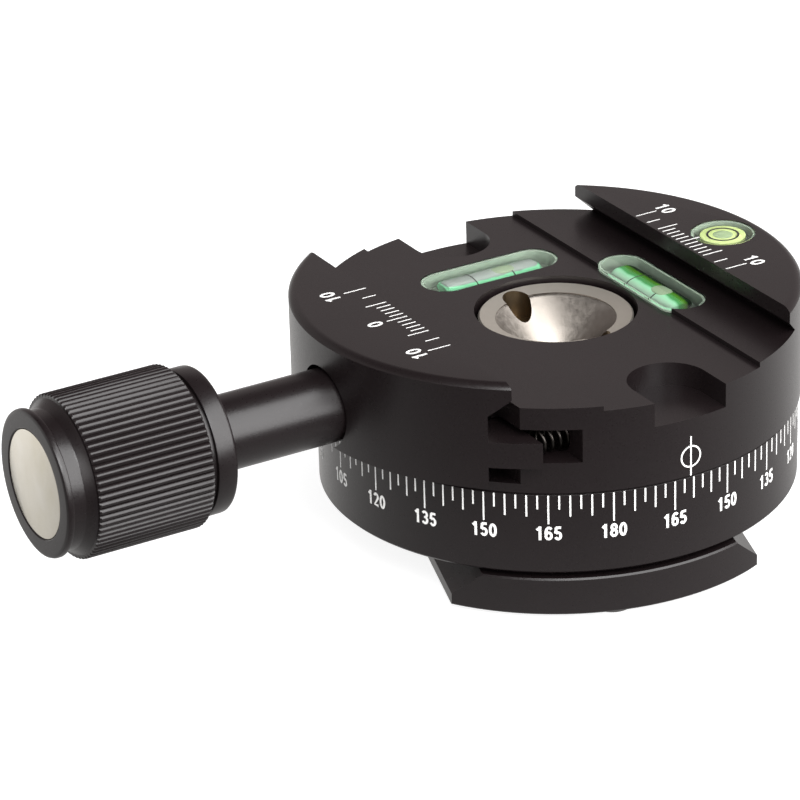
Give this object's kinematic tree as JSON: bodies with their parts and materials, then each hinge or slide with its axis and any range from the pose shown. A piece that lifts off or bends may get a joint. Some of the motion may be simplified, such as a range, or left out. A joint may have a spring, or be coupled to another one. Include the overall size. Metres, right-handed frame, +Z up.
{
  "type": "panoramic tripod head",
  "caption": "Round panoramic tripod head: dovetail base plate, graduated drum and panning quick-release clamp with sliding jaw, long knurled knob and spirit levels.",
  "frame": {"origin": "on the pan axis, at the mouth of the tripod thread on the underside of the dovetail plate", "axes": "+Z up along the pan axis; +X from the knob across the clamp channel to the fixed jaw; +Y along the channel"},
  "size_m": [0.1014, 0.0663, 0.0328],
  "materials": {
    "black_anodised": "satin black anodised",
    "dark_steel": "black oxide",
    "steel": "turned, bright",
    "spring_steel": "drawn wire",
    "brass": "turned",
    "white_plastic": "matt",
    "clear_acrylic": "polished, clear",
    "green_liquid": "green liquid",
    "yellow_liquid": "yellow-green liquid",
    "sleeve_metal": "smooth black anodised",
    "silver_disc": "bare silver"
  },
  "bodies": {
    "base": {"dovetail_plate": "black_anodised", "scale_drum": "black_anodised", "plate_screws": "dark_steel", "stop_screws": "steel", "thread_insert": "steel", "hub_spindle": "steel", "glide_ring": "white_plastic"},
    "clamp": {"clamp_body": "black_anodised", "thrust_washer": "brass", "clamp_stud": "steel", "guide_pins": "steel", "return_springs": "spring_steel", "cross_level": "clear_acrylic", "cross_level_liquid": "green_liquid", "along_level": "clear_acrylic", "along_level_liquid": "green_liquid", "round_level": "clear_acrylic", "round_level_liquid": "yellow_liquid", "level_backings": "white_plastic"},
    "jaw": {"moving_jaw": "black_anodised", "jaw_washer": "brass"},
    "knob": {"knob_sleeve": "sleeve_metal", "knob_grip": "black_anodised", "knob_end_disc": "silver_disc", "knob_fixing_screw": "steel"},
    "lock_slider": {"lock_shoe": "brass"},
    "lock_turner": {"lock_screw": "steel", "lock_knob": "black_anodised"}
  },
  "joints": [
    {"name": "pan", "type": "hinge", "parent": "base", "child": "clamp", "pos_m": [0, 0, 0.016], "axis": [0, 0, 1], "continuous": true},
    {"name": "jaw_slide", "type": "slide", "parent": "clamp", "child": "jaw", "axis": [1, 0, 0], "range_m": [-0.001, 0.0034], "deforming": ["return_springs"]},
    {"name": "knob_turn", "type": "hinge", "parent": "jaw", "child": "knob", "pos_m": [-0.05, 0, 0.02205], "axis": [1, 0, 0], "range_deg": [-360, 1224]},
    {"name": "lock_slide", "type": "slide", "parent": "base", "child": "lock_slider", "axis": [-0.4493, -0.8934, 0], "range_m": [0, 0.00025]},
    {"name": "lock_turn", "type": "hinge", "parent": "lock_slider", "child": "lock_turner", "pos_m": [0.01348, 0.0268, 0.01077], "axis": [-0.4493, -0.8934, 0], "range_deg": [0, 129]}
  ],
  "couplings": [
    {"joint": "knob_turn", "follows": "jaw_slide", "rad_per_m": 6283.2},
    {"joint": "lock_turn", "follows": "lock_slide", "rad_per_m": 8976}
  ]
}
